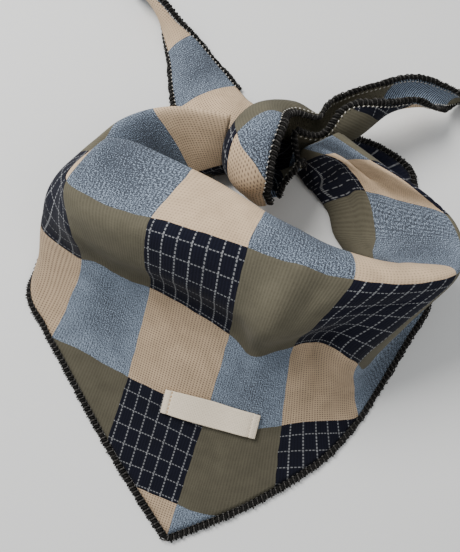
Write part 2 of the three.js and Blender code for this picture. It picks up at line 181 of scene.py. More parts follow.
# On each tie end, the ring and share across where four patches meet, their column and row,
# and the slant in degrees: over the knot, then past the ring where the cloth is pinched.
OVER_PATCHES = ((3.0, 0.2, -5, -1, 40), (8.0, 0.5, -6, -1, -40))
OVER_PINCH = 6
UNDER_PATCHES = ((0, 0, 3.8, -1, 0), (4.3, 1.1, 6, -1, 0))
UNDER_PINCH = 2
UNDER_HEMS_START = 4  # the ring where the under end's hems come out of the knot

# An overlocked hem, in shares of its width and thickness: the cloth edge inside it, its two
# wrapped threads, and its needle loops. Thread and loop radii are in mm.
HEM_MIDDLE = 0.55  # from the cloth's edge to the hem's middle
HEM_CORE = (0.32, 0.28)
UPPER_WRAP, UPPER_RADIUS = (0.4, 0.36), 0.36
LOWER_WRAP, LOWER_RADIUS = (0.36, 0.342), 0.42
LOOP_PLACE = (0.52, 0.46)  # in from the hem's middle, and off its plane
LOOP_RADII = (0.75, 0.36, 0.3)
RAGGED = (0.75, 1.45)  # least and greatest reach of a turn of thread

# The label: its place in shares of half width and reach, its turn in degrees seen from
# above, and its bow, waver, folded ends and sewn grooves in mm.
LABEL_PLACE = (-0.09, -0.55)
LABEL_TURN = -15
LABEL_BOW, LABEL_WAVER, LABEL_FOLD, LABEL_GROOVE = 0.9, 0.25, 0.45, 0.3
FOLD_SHARE, SEAM_SHARE, SEAM_WIDTH = 0.89, 0.86, 0.018  # from the middle to either end
LABEL_STITCHES = 6

# Pattern sizes of the knit, in mm: courses of stitches, the check's lines and dashes.
COURSE = 1.35
CHECK_ACROSS, CHECK_DOWN = 5.9, 9.4
DASH_ACROSS, DASH_DOWN = 1.48, 1.9

# The camera as in the photograph: degrees down, mm away and lens in mm.
CAMERA_DOWN, CAMERA_AWAY, CAMERA_LENS = 75, 302, 35.2

# Soft daylight: name, place in metres, width in metres, watts and tint.
LAMPS = (
    ("window", (-0.6, 0.5, 0.9), 0.6, 19, (1.0, 0.98, 0.95)),
    ("room_fill", (0.9, -0.8, 1.2), 1.2, 5, (1.0, 0.94, 0.86)),
)
ROOM_TINT, ROOM_STRENGTH = (0.94, 0.97, 1.0, 1), 0.52
TABLE_HALF = 3  # metres


def linear(hex_colour):
    """An sRGB hex colour as linear red, green and blue."""
    parts = [int(hex_colour[i:i + 2], 16) / 255 for i in (1, 3, 5)]
    return tuple(p / 12.92 if p <= 0.04045 else ((p + 0.055) / 1.055) ** 2.4 for p in parts)


def size(name, value, text):
    """A length for the panel, given in mm."""
    return FloatProperty(name=name, default=value * MM, unit="LENGTH", description=text)


def colour(name, hex_colour, text):
    """A colour for the panel, given as sRGB hex."""
    return FloatVectorProperty(name=name, default=linear(hex_colour), size=3, min=0, max=1,
                               subtype="COLOR", description=text)


class ScarfSizes(PropertyGroup):
    """The sizes of the scarf as it lies"""
    half_width: size("Half width", 110, "From the loop's middle out to its widest side")
    bib_reach: size("Bib reach", 135, "From the loop's middle to the bib's point")
    crest_height: size("Crest height", 72, "Highest fold over the table")
    knot_width: size("Knot width", 100, "Cloth gathered round the knot, across the curl")
    cloth: size("Cloth", 2, "Thickness of the knitted cloth")
    patch_width: size("Patch width", 40, "One patch along the scarf's long edge")
    patch_height: size("Patch height", 56, "One patch from the long edge towards the point")
    wale: size("Wale", 1.3, "Spacing of the knit's ribs")
    hem_width: size("Hem width", 4, "Overlocked seam beyond the cloth's edge")
    hem_thickness: size("Hem thickness", 3, "Overlocked seam, top to underside")
    stitch: size("Stitch spacing", 2.6, "Overlock stitches along the hem")
    label_length: size("Label length", 49, "Sewn label, along")
    label_width: size("Label width", 12.5, "Sewn label, across")
    label_thickness: size("Label thickness", 0.8, "Folded cotton tape")
    label_lift: size("Label lift", 0.6, "Air between the cloth and the label")


class ScarfColours(PropertyGroup):
    """The yarn colours"""
    beige: colour("Beige", "#C9B092", "Sand beige patches")
    beige_hole: colour("Beige hollows", "#78685A", "Between the stitches of the beige patches")
    pale_blue: colour("Pale blue", "#9BABBF", "Lighter yarn of the blue patches")
    slate: colour("Slate", "#3E434C", "Darker yarn of the blue patches")
    olive: colour("Olive", "#605C4E", "Olive patches")
    olive_rib: colour("Olive ribs", "#4E4A3E", "Hollows of the olive patches")
    navy: colour("Navy", "#141624", "Ground of the checked patches")
    check: colour("Check", "#97999C", "Lines of the checked patches")
    thread: colour("Overlock thread", "#1D1C1B", "Hem thread")
    needle: colour("Needle thread", "#CFCBC3", "Pale loops along the hem's inner side")
    tape: colour("Label tape", "#E4D6C0", "Cotton label")
    tan: colour("Label stitch", "#B48A55", "Stitches at the label's ends")
    table: colour("Table", "#E1E2E2", "Matt table top")


def curve(points, place):
    """Uniform Catmull-Rom through points (first axis) at places counted in points."""
    last = len(points) - 1
    place = np.clip(place, 0, last)
    start = np.minimum(place.astype(int), last - 1)
    share = (place - start).reshape((-1,) + (1,) * (points.ndim - 1))
    ends = np.concatenate([[2 * points[0] - points[1]], points, [2 * points[-1] - points[-2]]])
    before, here, after, beyond = (ends[start + i] for i in range(4))
    return blend(before, here, after, beyond, share)


def blend(before, here, after, beyond, share):
    """A smooth step from here to after, with slopes taken from the points on either side."""
    slope, next_slope = (after - before) / 2, (beyond - here) / 2
    square, cube = share ** 2, share ** 3
    return (here * (2 * cube - 3 * square + 1) + slope * (cube - 2 * square + share)
            + after * (3 * square - 2 * cube) + next_slope * (cube - square))


def curve_each(points, place):
    """As curve, where every place has its own row of points (second axis)."""
    last = points.shape[1] - 1
    place = np.clip(place, 0, last)
    start = np.minimum(place.astype(int), last - 1)
    first = 2 * points[:, :1] - points[:, 1:2]
    end = 2 * points[:, -1:] - points[:, -2:-1]
    ends = np.concatenate([first, points, end], axis=1)
    row = np.arange(len(place))
    share = (place - start)[:, None]
    return blend(*(ends[row, start + i] for i in range(4)), share)


def scarf_sizes():
    """The sizes as the panel has them."""
    return bpy.context.scene.scarf_sizes


def scarf_colours():
    """The colours as the panel has them."""
    return bpy.context.scene.scarf_colours


def shares():
    """Half width, bib reach and crest height as one vector."""
    sizes = scarf_sizes()
    return np.array([sizes.half_width, sizes.bib_reach, sizes.crest_height])


def unit(vectors):
    """Vectors of length 1 in the same directions."""
    return vectors / np.maximum(np.linalg.norm(vectors, axis=-1, keepdims=True), 1e-12)


def run_length(points):
    """Length along a line of points, up to each of them."""
    return np.concatenate([[0], np.cumsum(np.linalg.norm(np.diff(points, axis=0), axis=1))])


def last_count(table):
    """The last place along a table of sections or rings, counted from 0."""
    return len(table) - 1


def guide_points():
    """Nine places and patch rows on each section, from the edge on the table to the hem."""
    sizes = scarf_sizes()
    scale = shares()
    rest = sizes.cloth / 2
    rows = []
    for section, (lean, *known_rows) in zip(SECTIONS, PATCH_PLACES):
        at, edge, foot, brow, crest, puff, crease, hem = section
        edge = np.array([*edge, 0]) * scale + (0, 0, rest)
        foot = np.array([*foot, 0]) * scale + (0, 0, rest)
        brow, crest, crease, hem = (np.array(p) * scale for p in (brow, crest, crease, hem))
        hem[2] = max(hem[2], sizes.hem_thickness / 2)
        riser = foot + RISER_SHARE * (brow - foot)
        outward = unit((crease - crest) * (1, 1, 0))
        belly = (crest + crease) / 2 + outward * puff * sizes.crest_height
        belly[2] += PUFF_RISE * puff * sizes.crest_height
        skirt = (crease + hem) / 2
        skirt[2] = hem[2] + SKIRT_SHARE * (crease[2] - hem[2])
        points = np.array([edge, foot, riser, brow, crest, belly, crease, skirt, hem])
        hem_row = POINT_ROW - abs(at) / COLUMNS_PER_ROW
        column, row = patch_places(points, at, lean, (LONG_EDGE_ROW, *known_rows, hem_row))
        rows.append(np.column_stack([points, column, row]))
    return np.array(rows)


def patch_places(points, at, lean, known_rows):
    """Patch columns and rows at the nine places, spread between known ones by length."""
    run = run_length(points)
    edge, riser, brow, crest, crease, hem = run[[0, 2, 3, 4, 6, HEM_GUIDE]]
    columns = np.interp(run, (edge, riser, crest), (at + lean, at + RISER_LEAN * lean, at))
    return columns, np.interp(run, (edge, brow, crest, crease, hem), known_rows)


def band_surface(count, turn):
    """Middle of the band's cloth, with its patch column and row, at paired places.

    Counts run along the sections and turns round the guide lines. The hem has a corner at
    the bib's point, so it is curved on either side by itself."""
    guides = guide_points()
    places = np.array([float(section[0]) for section in SECTIONS])
    point = int(np.argmin(np.abs(places)))
    lines = curve(guides, count)
    early = curve(guides[:point + 1, HEM_GUIDE], np.minimum(count, point))
    late = curve(guides[point:, HEM_GUIDE], np.maximum(count, point) - point)
    lines[:, HEM_GUIDE] = np.where((count <= point)[:, None], early, late)
    found = curve_each(lines, turn)
    here = curve(places, count)
    for at, guide, along, around, push in FOLDS:
        weight = np.exp(-((here - at) / along) ** 2 - ((turn - guide) / around) ** 2)
        found[:, :3] += weight[:, None] * np.array(push) * shares()
    found[:, 2] += wrinkle_lift(found[:, 3:5])
    found[:, 2] = np.maximum(found[:, 2], scarf_sizes().cloth / 2)
    return found


def wrinkle_lift(patches):
    """How far the small wrinkles lift the cloth at places given in patches."""
    sizes = scarf_sizes()
    scale = np.array([sizes.patch_width, sizes.patch_height])
    lift = np.zeros(len(patches))
    for start, end, width, depth in WRINKLES:
        run = (np.array(end) - start) * scale
        reach = (patches - start) * scale
        share = np.clip(reach @ run / (run @ run), 0, 1)
        miss = np.linalg.norm(reach - share[:, None] * run, axis=1)
        lift += depth * MM * np.exp(-(miss / (width * MM)) ** 2)
    return lift


def tie_surface(rings, patterns, side, pinch):
    """A tie end's cloth as a function of ring count and share across, as band_surface.

    The patches change from the first pattern to the second where the cloth is pinched."""
    sizes = scarf_sizes()
    centres = np.array([ring[0] for ring in rings]) * shares()
    shape = np.array([ring[1:] for ring in rings], float)
    last = last_count(rings)
    fine = np.linspace(0, last, 400)
    length = run_length(curve(centres, fine))

    def surface(count, share):
        step = 0.05
        ahead = curve(centres, np.minimum(count + step, last))
        forward = unit(ahead - curve(centres, np.maximum(count - step, 0)))
        right = unit(np.cross(forward, (0, 0, 1)))
        up = np.cross(right, forward)
        width, curl, back = curve(shape, count).T
        bend, middle = np.radians(curl), np.radians(back)
        radius = width * sizes.knot_width / bend
        inset = radius - radius * (1 - np.cos(bend / 2)) / 2
        angle = middle + bend * (share - 0.5)
        sideways = radius * np.cos(angle) - inset * np.cos(middle)
        upward = radius * np.sin(angle) - inset * np.sin(middle)
        point = curve(centres, count) + right * sideways[:, None] + up * upward[:, None]
        point[:, 2] = np.maximum(point[:, 2], sizes.cloth / 2)
        early, late = (
            tie_patches(pattern, side, np.interp((pattern[0], *count), fine, length), share, width)
            for pattern in patterns)
        # The change takes half a ring.
        passed = np.clip((count - pinch) * 2 + 0.5, 0, 1)[:, None]
        return np.column_stack([point, early * (1 - passed) + late * passed])

    return surface


def tie_patches(pattern, side, length, share, width):
    """Patch column and row, from where four patches meet and how they slant there.

    The first length is that of the meeting place, the others are those asked for."""
    sizes = scarf_sizes()
    _, middle, corner_column, corner_row, slant = pattern
    along = length[1:] - length[0]
    around = (middle - share) * width * sizes.knot_width
    turn = math.radians(slant)
    run = along * math.cos(turn) + around * math.sin(turn)
    climb = around * math.cos(turn) - along * math.sin(turn)
    return np.column_stack([corner_column + side * run / sizes.patch_width,
                            corner_row + climb / sizes.patch_height])


def over_surface():
    """The end that wraps over the knot and leaves to the right. Its columns count down."""
    return tie_surface(OVER_KNOT, OVER_PATCHES, -1, OVER_PINCH)


def under_surface():
    """The end that passes under the knot and leaves to the back left. Columns count up."""
    return tie_surface(UNDER_KNOT, UNDER_PATCHES, 1, UNDER_PINCH)


def table_to_frame():
    """How far the loop's middle is moved to the row's origin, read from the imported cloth."""
    points = []
    for surface, table, steps, reach, rows in (
            (band_surface, SECTIONS, 3, HEM_GUIDE, 25),
            (over_surface(), OVER_KNOT, 2, 1, 15), (under_surface(), UNDER_KNOT, 2, 1, 15)):
        last = last_count(table)
        grid = np.meshgrid(np.linspace(0, last, steps * last + 1), np.linspace(0, reach, rows))
        points.append(surface(*(part.ravel() for part in grid))[:, :3])
    points = np.concatenate(points)
    low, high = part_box("scarf_cloth")
    middle = (np.array(low) + np.array(high)) / 2
    shift = middle - (points.min(0) + points.max(0)) / 2
    return np.array([shift[0], shift[1], 0])


def node(tree, kind, *values, out=0, named=None, **settings):
    """Adds a node, sets its properties, gives or links its inputs, and returns an output."""
    made = tree.nodes.new("ShaderNode" + kind)
    for name, value in settings.items():
        setattr(made, name, value)
    given = list(zip([socket for socket in made.inputs if socket.enabled], values))
    given += [(made.inputs[name], value) for name, value in (named or {}).items()]
    for socket, value in given:
        if isinstance(value, bpy.types.NodeSocket):
            tree.links.new(value, socket)
        else:
            socket.default_value = value
    return [socket for socket in made.outputs if socket.enabled][out]


def new_material(name):
    """An empty material and the call that adds nodes to it."""
    material = bpy.data.materials.new(name)
    material.use_nodes = True
    material.node_tree.nodes.clear()
    return material, functools.partial(node, material.node_tree)


def rgba(value, share=1):
    """A colour, darkened or lightened by a share, as a socket takes it."""
    return (*(part * share for part in value), 1)


def fabric_surface(material, base, height, depth, roughness, sheen):
    """Matt cloth: a rough surface with the soft edge light of loose fibres."""
    tree = material.node_tree
    bump = node(tree, "Bump", named={"Height": height, "Distance": depth, "Strength": 1})
    shader = node(tree, "BsdfPrincipled", named={
        "Base Color": base, "Normal": bump, "Roughness": roughness, "Sheen Weight": sheen,
        "Sheen Roughness": 0.45, "IOR": 1.5, "Specular IOR Level": 0.15})
    tree.links.new(shader, tree.nodes.new("ShaderNodeOutputMaterial").inputs[0])


def cloth_places(add):
    """Column and row of patches, and the same in millimetres, from the cloth's own UV."""
    sizes = scarf_sizes()
    column = add("SeparateXYZ", add("UVMap", uv_map="patches"))
    row = column.node.outputs[1]
    across = add("Math", column, sizes.patch_width / MM, operation="MULTIPLY")
    down = add("Math", row, sizes.patch_height / MM, operation="MULTIPLY")
    return column, row, across, down


def wave(add, place, spacing):
    """A wave from 0 to 1 that repeats each spacing, highest at each multiple of it."""
    turns = add("Math", place, 2 * math.pi / spacing, operation="MULTIPLY")
    cosine = add("Math", turns, operation="COSINE")
    return add("Math", cosine, 0.5, 0.5, operation="MULTIPLY_ADD")


def speckle(add, across, down, wide, tall, detail=1.0, seed=0.0):
    """Random blots from 0 to 1, about so many millimetres wide and tall."""
    x = add("Math", across, 1 / wide, operation="MULTIPLY")
    y = add("Math", down, 1 / tall, operation="MULTIPLY")
    return add("TexNoise", add("CombineXYZ", x, y, seed), 1.0, detail)


def odd(add, value):
    """1 in every other patch, 0 in those between."""
    return add("Math", add("Math", value, operation="FLOOR"), 2.0, operation="FLOORED_MODULO")


def patch_mix(add, column, row, olive, navy, blue, beige):
    """The four yarns laid out in patches, as columns and rows alternate."""
    odd_column, odd_row = odd(add, column), odd(add, row)
    even = add("Mix", odd_column, olive, navy, data_type="RGBA")
    uneven = add("Mix", odd_column, blue, beige, data_type="RGBA")
    return add("Mix", odd_row, even, uneven, data_type="RGBA")


def jacquard_knit_face():
    """Double jacquard jersey, face side: four yarn patches with ribs and small hollows."""
    sizes, colours = scarf_sizes(), scarf_colours()
    material, add = new_material("double_jacquard_knit_face")
    column, row, across, down = cloth_places(add)
    rib = wave(add, across, sizes.wale / MM)
    course = wave(add, down, COURSE)
    uneven = speckle(add, across, down, 1.25, 1.25, detail=2.0)
    # The knit opens where the band is pulled round the back of the loop.
    reach = add("Math", column, operation="ABSOLUTE")
    open_knit_and_shade = add("MapRange", reach, 2.6, 3.4, 0.7, 1.5)
    # Painted shade: down over the bib, which lies in the fold's shade, and inside the loop, where
    # little light reaches, the beige hollows show stronger.
    bib = add("MapRange", row, 0.3, 1.1)
    painted_shade = add("Math", bib, add("MapRange", row, -1.0, -1.4), operation="MAXIMUM")
    open_knit_and_shade = add("Math", painted_shade, 1.2, open_knit_and_shade, operation="MULTIPLY_ADD")
    # Beige: a pale yarn with a small dark hollow between each rib and course.
    hollow = add("Math", rib, course, operation="MULTIPLY")
    hollow = add("MapRange", hollow, 0.18, 0.85, interpolation_type="SMOOTHSTEP")
    patchy = add("Math", uneven, 1.5, -0.1, operation="MULTIPLY_ADD")
    hollow = add("Math", hollow, patchy, operation="MULTIPLY")
    # The hollows show both the knit's real opening and the painted shade.
    hollow = add("Math", hollow, open_knit_and_shade, operation="MULTIPLY", use_clamp=True)
    beige = add("Mix", hollow, rgba(colours.beige), rgba(colours.beige_hole), data_type="RGBA")
    # Blue: two yarns mixed at random in short slanting flecks; a painted sheen makes them paler
    # along a patch's edges.
    slant_across = add("Math", down, 0.6, across, operation="MULTIPLY_ADD")
    slant_down = add("Math", across, -0.5, down, operation="MULTIPLY_ADD")
    fleck = speckle(add, slant_across, slant_down, 0.38, 0.8, detail=3.0, seed=3.0)
    fleck = add("Math", rib, 0.05, fleck, operation="MULTIPLY_ADD")
    # Over the bib the blue turns paler, which offsets part of the painted shade there.
    fleck = add("Math", bib, -0.05, fleck, operation="MULTIPLY_ADD")
    # Painted sheen: the blue is lighter along each patch's edges.
    edges = add("Math", wave(add, column, 1), wave(add, row, 1), operation="MAXIMUM")
    fleck = add("Math", edges, -0.05, fleck, operation="MULTIPLY_ADD")
    fleck = add("MapRange", fleck, 0.35, 0.5, interpolation_type="SMOOTHSTEP")
    blue = add("Mix", fleck, rgba(colours.pale_blue), rgba(colours.slate), data_type="RGBA")
    # Olive: one yarn, with faint ribs that run down each patch.
    furrow = add("Math", rib, uneven, operation="MULTIPLY")
    olive = add("Mix", furrow, rgba(colours.olive), rgba(colours.olive_rib), data_type="RGBA")
    # Checked: dark ground with broken pale lines each way.
    line_across = wave(add, add("Math", across, 3.2, operation="SUBTRACT"), CHECK_ACROSS)
    line_across = add("MapRange", line_across, 0.955, 0.99, interpolation_type="SMOOTHSTEP")
    line_down = wave(add, add("Math", down, 6.5, operation="SUBTRACT"), CHECK_DOWN)
    line_down = add("MapRange", line_down, 0.985, 0.997, interpolation_type="SMOOTHSTEP")
    dash_down = add("MapRange", wave(add, down, DASH_DOWN), 0.1, 0.5)
    dash_across = add("MapRange", wave(add, across, DASH_ACROSS), 0.1, 0.5)
    line_across = add("Math", line_across, dash_down, operation="MULTIPLY")
    line_down = add("Math", line_down, dash_across, operation="MULTIPLY")
    lines = add("Math", line_across, line_down, operation="MAXIMUM")
    worn = add("Math", uneven, 0.9, 0.3, operation="MULTIPLY_ADD", use_clamp=True)
    lines = add("Math", lines, worn, operation="MULTIPLY")
    ground = add("Math", rib, 0.5, operation="MULTIPLY")
    ground = add("Mix", ground, rgba(colours.navy), rgba(colours.navy, 0.4), data_type="RGBA")
    navy = add("Mix", lines, ground, rgba(colours.check), data_type="RGBA")
    # The lines between patches wander by part of a stitch, and all tones vary slowly.
    wander = speckle(add, across, down, 14, 14)
    shift = add("Math", wander, 0.04, -0.02, operation="MULTIPLY_ADD")
    shifted = [add("Math", place, shift, operation="ADD") for place in (column, row)]
    base = patch_mix(add, *shifted, olive, navy, blue, beige)
    tone = speckle(add, across, down, 9, 9, detail=3.0, seed=7.0)
    tone = add("Math", tone, 0.5, 0.75, operation="MULTIPLY_ADD")
    # Painted shade: every patch darkens by up to a third over the bib and inside the loop.
    tone = add("Math", tone, add("MapRange", painted_shade, 0, 1, 1.0, 0.68), operation="MULTIPLY")
    base = add("Mix", 1.0, base, tone, data_type="RGBA", blend_type="MULTIPLY")
    # The hollows between stitches lie deeper.
    stitch = add("Math", course, 0.5, 0.5, operation="MULTIPLY_ADD")
    height = add("Math", rib, stitch, operation="MULTIPLY")
    height = add("Math", height, -0.7, uneven, operation="MULTIPLY_ADD")
    fabric_surface(material, base, height, depth=0.12 * MM, roughness=0.92, sheen=0.03)
    return material


def jacquard_knit_reverse():
    """Double jacquard jersey, reverse: the face's yarns change places and show flecked."""
    sizes, colours = scarf_sizes(), scarf_colours()
    material, add = new_material("double_jacquard_knit_reverse")
    column, row, across, down = cloth_places(add)
    rib = wave(add, across, sizes.wale / MM)
    fleck = speckle(add, across, down, 0.7, 1.1, detail=2.0, seed=5.0)
    dark_fleck = add("MapRange", fleck, 0.5, 0.68, interpolation_type="SMOOTHSTEP")
    pale_olive = rgba(colours.olive, 1.25)
    olive = add("Mix", dark_fleck, pale_olive, rgba(colours.olive_rib), data_type="RGBA")
    stripe = add("Math", rib, 0.55, fleck, operation="MULTIPLY_ADD")
    stripe = add("MapRange", stripe, 0.6, 0.85, interpolation_type="SMOOTHSTEP")
    blue = add("Mix", stripe, rgba(colours.pale_blue), rgba(colours.slate), data_type="RGBA")
    line_across = add("MapRange", wave(add, across, CHECK_ACROSS), 0.975, 0.995)
    line_down = add("MapRange", wave(add, down, CHECK_DOWN), 0.99, 0.998)
    lines = add("Math", line_across, line_down, operation="MAXIMUM")
    lines = add("Math", lines, fleck, operation="MULTIPLY")
    navy = add("Mix", lines, rgba(colours.navy), rgba(colours.check), data_type="RGBA")
    base = patch_mix(add, column, row, olive, navy, olive, blue)
    height = add("Math", rib, -1.0, fleck, operation="MULTIPLY_ADD")
    fabric_surface(material, base, height, depth=0.3 * MM, roughness=0.95, sheen=0.03)
    return material


def spun_polyester_thread(name, value, dark):
    """Textured overlock thread: soft filaments, so it is matt with a slight sheen."""
    material, add = new_material(name)
    place = add("TexCoord", out=3)
    grain = add("TexNoise", place, 1 / (0.6 * MM), 3.0)
    sharp = add("MapRange", grain, 0.38, 0.62, interpolation_type="SMOOTHSTEP")
    base = add("Mix", sharp, rgba(value, dark), rgba(value), data_type="RGBA")
    fabric_surface(material, base, grain, depth=0.15 * MM, roughness=0.85, sheen=0.05)
    return material


def cotton_tape():
    """Plain-woven cotton tape: a fine even weave of warp and weft, faintly uneven."""
    colours = scarf_colours()
    material, add = new_material("woven_cotton_tape")
    along = add("SeparateXYZ", add("UVMap", uv_map="patches"))
    across = along.node.outputs[1]
    weave = add("Math", wave(add, along, 0.8), wave(add, across, 0.8), operation="MULTIPLY")
    uneven = speckle(add, along, across, 4, 1.1, detail=3.0)
    share = add("Math", uneven, 0.35, operation="MULTIPLY")
    share = add("Math", weave, 0.25, share, operation="MULTIPLY_ADD")
    base = add("Mix", share, rgba(colours.tape), rgba(colours.tape, 0.62), data_type="RGBA")
    height = add("Math", uneven, weave, operation="SUBTRACT")
    fabric_surface(material, base, height, depth=0.12 * MM, roughness=0.85, sheen=0.05)
    return material


def matt_table_top():
    """Matt painted board: nearly even pale grey with a very slight mottle."""
    material, add = new_material("matt_painted_board")
    place = add("TexCoord", out=3)
    value = scarf_colours().table
    mottle = add("TexNoise", place, 6.0, 2.0)
    base = add("Mix", mottle, rgba(value, 0.98), rgba(value), data_type="RGBA")
    grain = add("TexNoise", place, 1 / (1.5 * MM))
    fabric_surface(material, base, grain, depth=0.01 * MM, roughness=0.7, sheen=0.0)
    return material


def sheet_mesh(shell, surface, total, reach, columns, rows):
    """Adds one sheet of cloth to the bmesh: a grid moved onto the surface, with its UV."""
    made = bmesh.ops.create_grid(shell, x_segments=columns, y_segments=rows, size=1)
    places = np.array([v.co[:2] for v in made["verts"]]) * 0.5 + 0.5
    found = surface(places[:, 0] * total, places[:, 1] * reach)
    found[:, :3] += table_to_frame()
    return made["verts"], found


def cloth_object(name, sheets):
    """Sheets of cloth in one mesh.

    Each sheet has its surface, its last count and place across, its cells along and across,
    and whether it is turned over so that the face side is outside."""
    shell = bmesh.new()
    uv = shell.loops.layers.uv.new("patches")
    for surface, total, reach, columns, rows, flip in sheets:
        verts, found = sheet_mesh(shell, surface, total, reach, columns, rows)
        for vert, place in zip(verts, found):
            vert.co = Vector(place[:3])
        where = {vert: place[3:5] for vert, place in zip(verts, found)}
        faces = {face for vert in verts for face in vert.link_faces}
        for face in faces:
            face.smooth = True
            for loop in face.loops:
                loop[uv].uv = where[loop.vert]
        if flip:
            bmesh.ops.reverse_faces(shell, faces=list(faces))
    return finished(name, shell)


def finished(name, shell):
    """Turns a bmesh into an object of the scene, at the origin."""
    mesh = bpy.data.meshes.new(name)
    shell.to_mesh(mesh)
    shell.free()
    piece = bpy.data.objects.new(name, mesh)
    bpy.context.collection.objects.link(piece)
    return piece


def thicken(piece, thickness, slots_on):
    """Gives cloth its thickness; reverse and rim use the material so many slots on."""
    solid = piece.modifiers.new("thickness", "SOLIDIFY")
    solid.thickness = thickness
    solid.offset = 0
    solid.material_offset = slots_on
    solid.material_offset_rim = slots_on


class SCARF_OT_cloth(Operator):
    """The whole patchwork: neck band and bib, and the two tied ends"""
    bl_idname = "scarf.cloth"
    bl_label = "Patchwork cloth"

    def execute(self, context):
        cloth = cloth_object("patchwork_cloth", (
            (band_surface, last_count(SECTIONS), HEM_GUIDE, 300, 120, True),
            (over_surface(), last_count(OVER_KNOT), 1, 130, 50, False),
            (under_surface(), last_count(UNDER_KNOT), 1, 90, 30, False)))
        cloth.data.materials.append(jacquard_knit_face())
        cloth.data.materials.append(jacquard_knit_reverse())
        thicken(cloth, scarf_sizes().cloth, 1)
        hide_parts("scarf_cloth")
        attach(cloth, "root")
        return {"FINISHED"}


def even_counts(surface, first, last, edge, spacing):
    """Counts along an edge of a surface, evenly spaced in length, and the whole length."""
    counts = np.linspace(first, last, 1500)
    points = surface(counts, np.full_like(counts, edge))[:, :3]
    run = run_length(points)
    steps = max(2, round(run[-1] / spacing))
    return np.interp(np.linspace(0, run[-1], steps + 1), run, counts), run[-1]


def hem_frame(surface, counts, edge, inward):
    """The hem's middle line, the way out of the cloth, and the way up from it."""
    sizes = scarf_sizes()
    points = surface(counts, np.full_like(counts, edge))[:, :3]
    inner = surface(counts, np.full_like(counts, edge + inward))[:, :3]
    run = unit(np.gradient(points, axis=0))
    pull = points - inner
    out = unit(pull - run * np.sum(pull * run, axis=1, keepdims=True))
    up = np.cross(run, out)
    up *= np.where(up[:, 2:] < 0, -1, 1)
    middle = points + out * sizes.hem_width * HEM_MIDDLE
    middle[:, 2] = np.maximum(middle[:, 2], sizes.hem_thickness / 2 * np.abs(up[:, 2]))
    return middle + table_to_frame(), out, up


def tube(shell, centres, across, upward, sides, material):
    """A closed tube: a grid rolled round its line, sewn along its seam and at its ends."""
    made = bmesh.ops.create_grid(shell, x_segments=len(centres) - 1, y_segments=sides, size=1)
    verts = made["verts"]
    places = np.array([v.co[:2] for v in verts]) * 0.5 + 0.5
    ring = np.rint(places[:, 0] * (len(centres) - 1)).astype(int)
    angle = places[:, 1:] * 2 * math.pi
    points = centres[ring] + across[ring] * np.cos(angle) + upward[ring] * np.sin(angle)
    for vert, point in zip(verts, points):
        vert.co = Vector(point)
    faces = list({face for vert in verts for face in vert.link_faces})
    for face in faces:
        face.material_index = material
        face.smooth = True
    bmesh.ops.remove_doubles(shell, verts=verts, dist=1e-7)
    ends = [edge for face in faces for edge in face.edges if edge.is_boundary]
    caps = bmesh.ops.holes_fill(shell, edges=list(set(ends)), sides=0)
    for face in caps["faces"]:
        face.material_index = material
    bmesh.ops.recalc_face_normals(shell, faces=faces + caps["faces"])


def wrapped_thread(shell, line, wrap, radius, phase, material):
    """A thread wound round the hem, one turn for each stitch, some turns looser."""
    sizes = scarf_sizes()
    middle, out, up, length = line
    wide, high = sizes.hem_width * wrap[0], sizes.hem_thickness * wrap[1]
    turns = length / sizes.stitch
    wind = phase + np.linspace(0, turns, len(middle)) * 2 * math.pi
    fold = 0.25 * np.sin(3 * wind + phase)  # the turn hurries and lags as thread does
    ragged = np.random.default_rng(7 + material).uniform(*RAGGED, round(turns) + 2)
    ragged = np.interp(wind / (2 * math.pi), np.arange(len(ragged)), ragged)
    outward, upward = np.cos(wind + fold) * ragged, np.sin(wind + fold) * ragged
    points = middle + out * (outward * wide)[:, None] + up * (upward * high)[:, None]
    points[:, 2] = np.maximum(points[:, 2], radius)
    forward = unit(np.gradient(points, axis=0))
    rise = out * (outward * high)[:, None] + up * (upward * wide)[:, None]
    rise = unit(rise - forward * np.sum(rise * forward, axis=1, keepdims=True))
    across = np.cross(forward, rise)
    tube(shell, points, across * radius, rise * radius, 5, material)


def needle_loops(shell, line, material):
    """Loops of the needle thread along the hem's inner side, above and below."""
    sizes = scarf_sizes()
    middle, out, up, length = line
    inward, lift = sizes.hem_width * LOOP_PLACE[0], sizes.hem_thickness * LOOP_PLACE[1]
    shape = Matrix.Diagonal((*(radius * MM for radius in LOOP_RADII), 1))
    last = len(middle) - 1
    total = int(length / sizes.stitch)
    for i in range(1, total):
        k = round(i / total * last)
        run = unit(middle[min(k + 1, last)] - middle[max(k - 1, 0)])
        slanted = unit(run + out[k] * 0.5)
        turned = Matrix((slanted, np.cross(up[k], slanted), up[k])).transposed().to_4x4()
        for side in (1, -1):
            place = middle[k] - out[k] * inward + up[k] * side * lift
            stance = Matrix.Translation(Vector(place)) @ turned @ shape
            made = bmesh.ops.create_icosphere(shell, subdivisions=1, radius=1, matrix=stance)
            for face in {f for v in made["verts"] for f in v.link_faces}:
                face.material_index = material
                face.smooth = True


def overlocked_hem(name, surface, first, last, edge, inward):
    """A hem: a firm edge of cloth wound with two strands and caught by needle loops."""
    sizes = scarf_sizes()
    shell = bmesh.new()
    coarse, length = even_counts(surface, first, last, edge, 2 * MM)
    middle, out, up = hem_frame(surface, coarse, edge, inward)
    wide, high = out * sizes.hem_width * HEM_CORE[0], up * sizes.hem_thickness * HEM_CORE[1]
    tube(shell, middle, wide, high, sides=10, material=0)
    # Twelve points draw each turn of the threads.
    fine = even_counts(surface, first, last, edge, sizes.stitch / 12)[0]
    line = (*hem_frame(surface, fine, edge, inward), length)
    wrapped_thread(shell, line, UPPER_WRAP, UPPER_RADIUS * MM, 0.0, 1)
    wrapped_thread(shell, line, LOWER_WRAP, LOWER_RADIUS * MM, math.pi, 2)
    needle_loops(shell, line, 3)
    return finished(name, shell)


